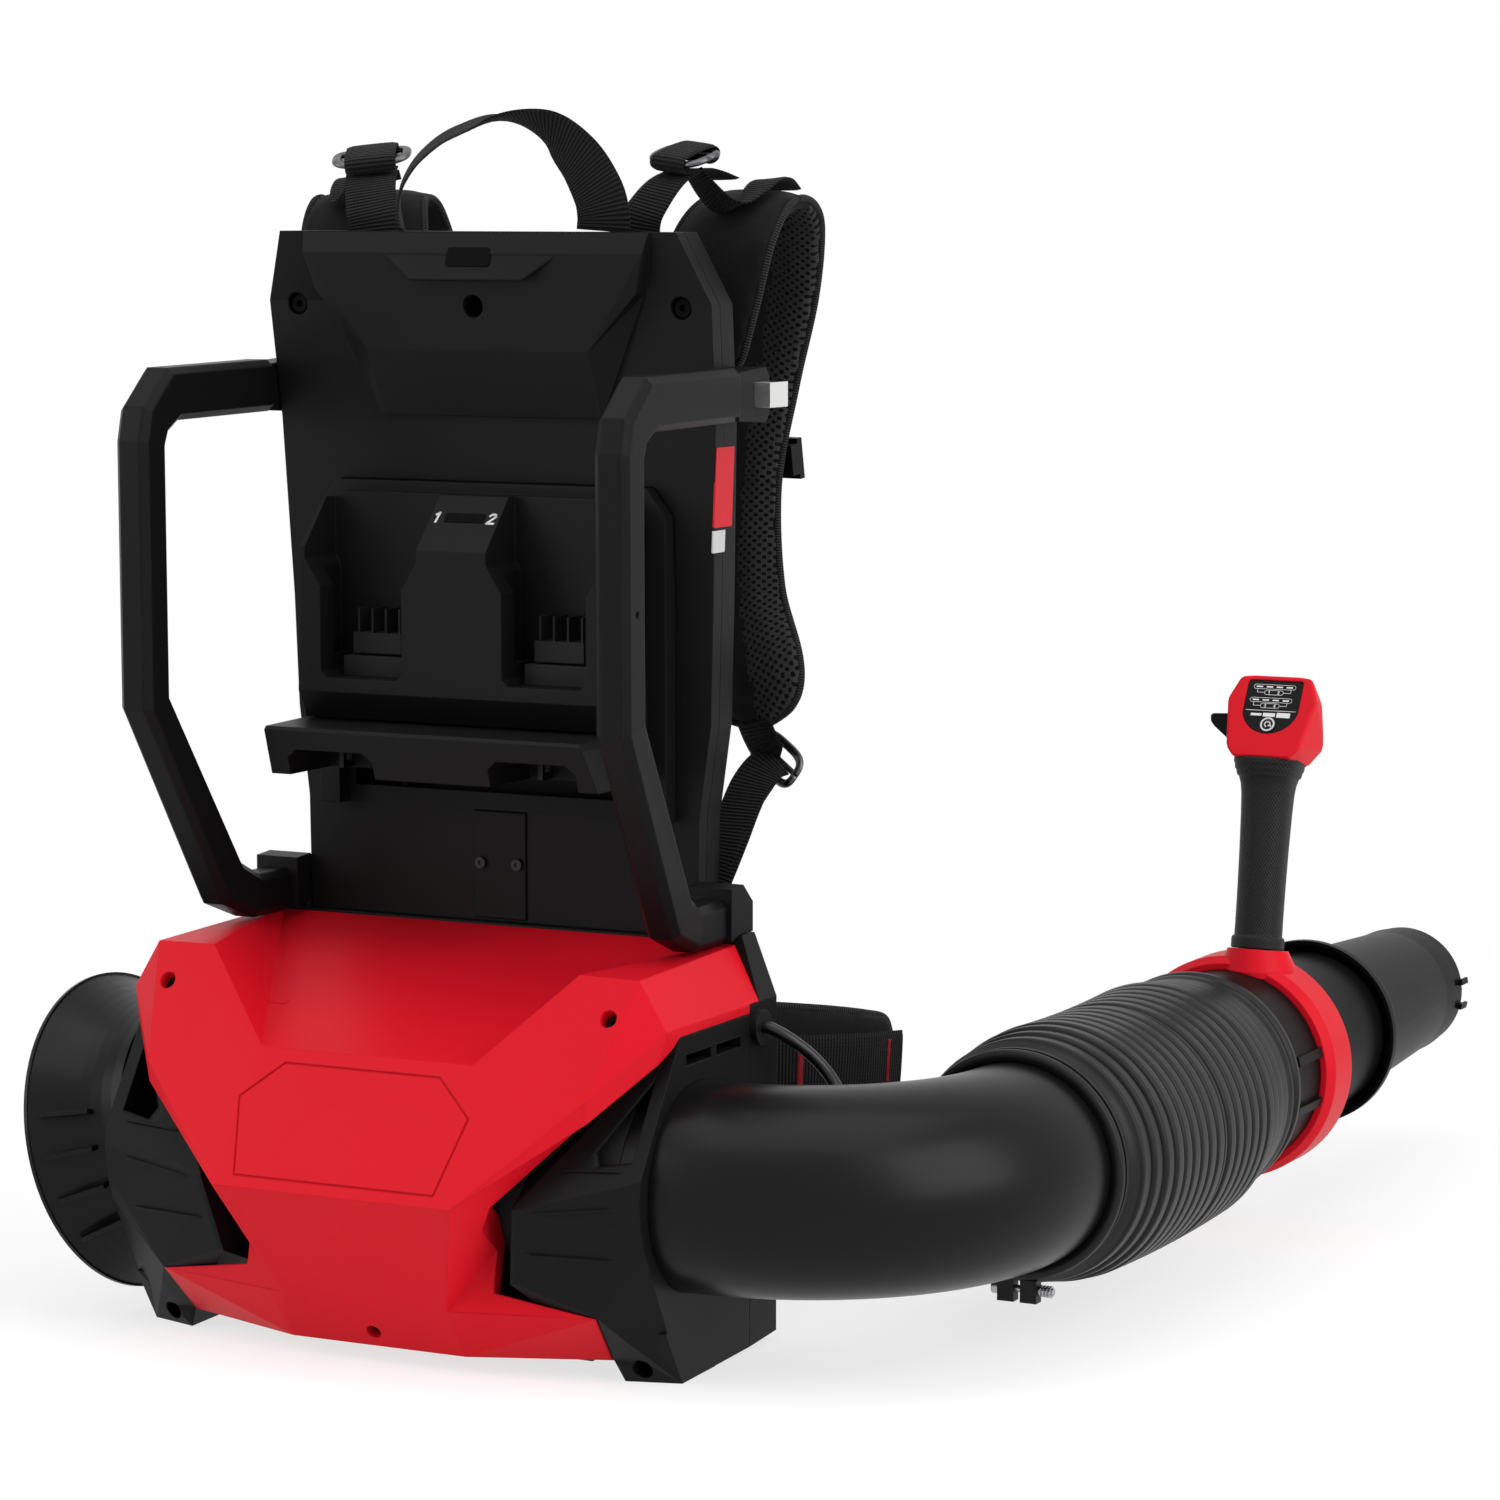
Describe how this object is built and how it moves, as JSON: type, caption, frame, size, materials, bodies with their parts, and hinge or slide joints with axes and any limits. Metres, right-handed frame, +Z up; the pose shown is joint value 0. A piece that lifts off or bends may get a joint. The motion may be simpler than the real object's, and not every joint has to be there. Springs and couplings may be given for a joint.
{
  "type": "backpack leaf blower",
  "caption": "Battery backpack blower: a finned fan base and dock frame on a padded harness, with a ribbed hose, a swinging air tube and a thumb-and-trigger control grip.",
  "frame": {"origin": "on the floor below the middle of the base, on the face of its flat pan", "axes": "+Z up, +Y the way the wearer faces and the air tube blows, +X to the wearer's right"},
  "size_m": [0.6172, 0.912, 0.7024],
  "materials": {
    "red_plastic": "satin moulded red",
    "black_plastic": "satin moulded black",
    "tube_plastic": "smooth satin black",
    "inner_plastic": "plain dark grey",
    "hose_rubber": "matt black",
    "grip_rubber": "fine textured black",
    "control_plastic": "satin black",
    "display_gloss": "glossy black",
    "screw_steel": "plated steel",
    "hook_zinc": "bright zinc",
    "motor_iron": "steel laminations and copper",
    "board_green": "coated board",
    "pad_mesh": "padded cloth with open mesh",
    "webbing": "woven webbing",
    "buckle_plastic": "satin black"
  },
  "bodies": {
    "machine": {"rear_housing": "black_plastic", "front_cover": "red_plastic", "left_end_cap": "black_plastic", "right_end_cap": "black_plastic", "fan_duct": "inner_plastic", "motor_pod": "inner_plastic", "motor": "motor_iron", "bearings": "screw_steel", "intake_bell": "tube_plastic", "intake_guard": "tube_plastic", "elbow": "tube_plastic", "hose_clamp": "black_plastic", "clamp_screw": "screw_steel", "hose_rear": "hose_rubber", "hose_front": "hose_rubber", "cable_grommets": "hose_rubber", "control_cable": "hose_rubber", "back_frame": "black_plastic", "front_panel": "black_plastic", "battery_dock": "black_plastic", "terminal_blocks": "inner_plastic", "support_shelf": "black_plastic", "latch_keepers": "screw_steel", "lower_cover": "black_plastic", "side_handle_left": "black_plastic", "side_handle_right": "black_plastic", "handle_clamps": "black_plastic", "handle_hook": "hook_zinc", "controller_board": "board_green", "panel_screws": "screw_steel", "housing_screws": "screw_steel", "cover_screws": "screw_steel", "back_cushion": "pad_mesh", "shoulder_pad_left": "pad_mesh", "shoulder_pad_right": "pad_mesh", "carry_strap": "webbing", "upper_straps": "webbing", "upper_buckles": "buckle_plastic", "lower_straps": "webbing", "lower_buckles": "buckle_plastic", "pad_slider": "buckle_plastic", "hip_wing_left": "pad_mesh", "hip_wing_right": "pad_mesh", "hip_webbing": "webbing", "hip_buckle": "buckle_plastic"},
    "fan": {"fan_rotor": "inner_plastic", "fan_shaft": "screw_steel"},
    "hose_mid": {"hose_mid_ring": "tube_plastic"},
    "tube": {"front_tube": "tube_plastic", "clamp_ring": "red_plastic", "nozzle": "tube_plastic", "grip": "grip_rubber", "control_head": "red_plastic", "display_window": "display_gloss", "trigger_spring": "screw_steel", "pivot_pins": "screw_steel"},
    "trigger": {"throttle_trigger": "control_plastic"},
    "lever": {"cruise_lever": "control_plastic"},
    "button": {"mode_button": "control_plastic"}
  },
  "joints": [
    {"name": "fan_spin", "type": "hinge", "parent": "machine", "child": "fan", "pos_m": [0, -0.066, 0.107], "axis": [1, 0, 0], "continuous": true},
    {"name": "tube_yaw", "type": "hinge", "parent": "machine", "child": "hose_mid", "pos_m": [0.305, 0.144, 0.107], "axis": [0, 0, 1], "range_deg": [-20, 25], "deforming": ["hose_rear"]},
    {"name": "tube_pitch", "type": "hinge", "parent": "hose_mid", "child": "tube", "pos_m": [0.305, 0.262, 0.107], "axis": [1, 0, 0], "range_deg": [-12, 22], "deforming": ["hose_front"]},
    {"name": "throttle_pull", "type": "hinge", "parent": "tube", "child": "trigger", "pos_m": [0.317, 0.43946, 0.26741], "axis": [1, 0, 0], "range_deg": [-11, 0], "stiffness_Nm_per_rad": 0.8, "springref_deg": 14.32, "deforming": ["trigger_spring"]},
    {"name": "cruise_set", "type": "hinge", "parent": "tube", "child": "lever", "pos_m": [0.302, 0.43931, 0.32717], "axis": [0, 0.9877, -0.1564], "range_deg": [0, 24]},
    {"name": "mode_press", "type": "slide", "parent": "tube", "child": "button", "axis": [0, 0.9781, -0.2079], "range_m": [0, 0.0012], "stiffness_N_per_m": 700, "springref_m": -0.0008}
  ]
}
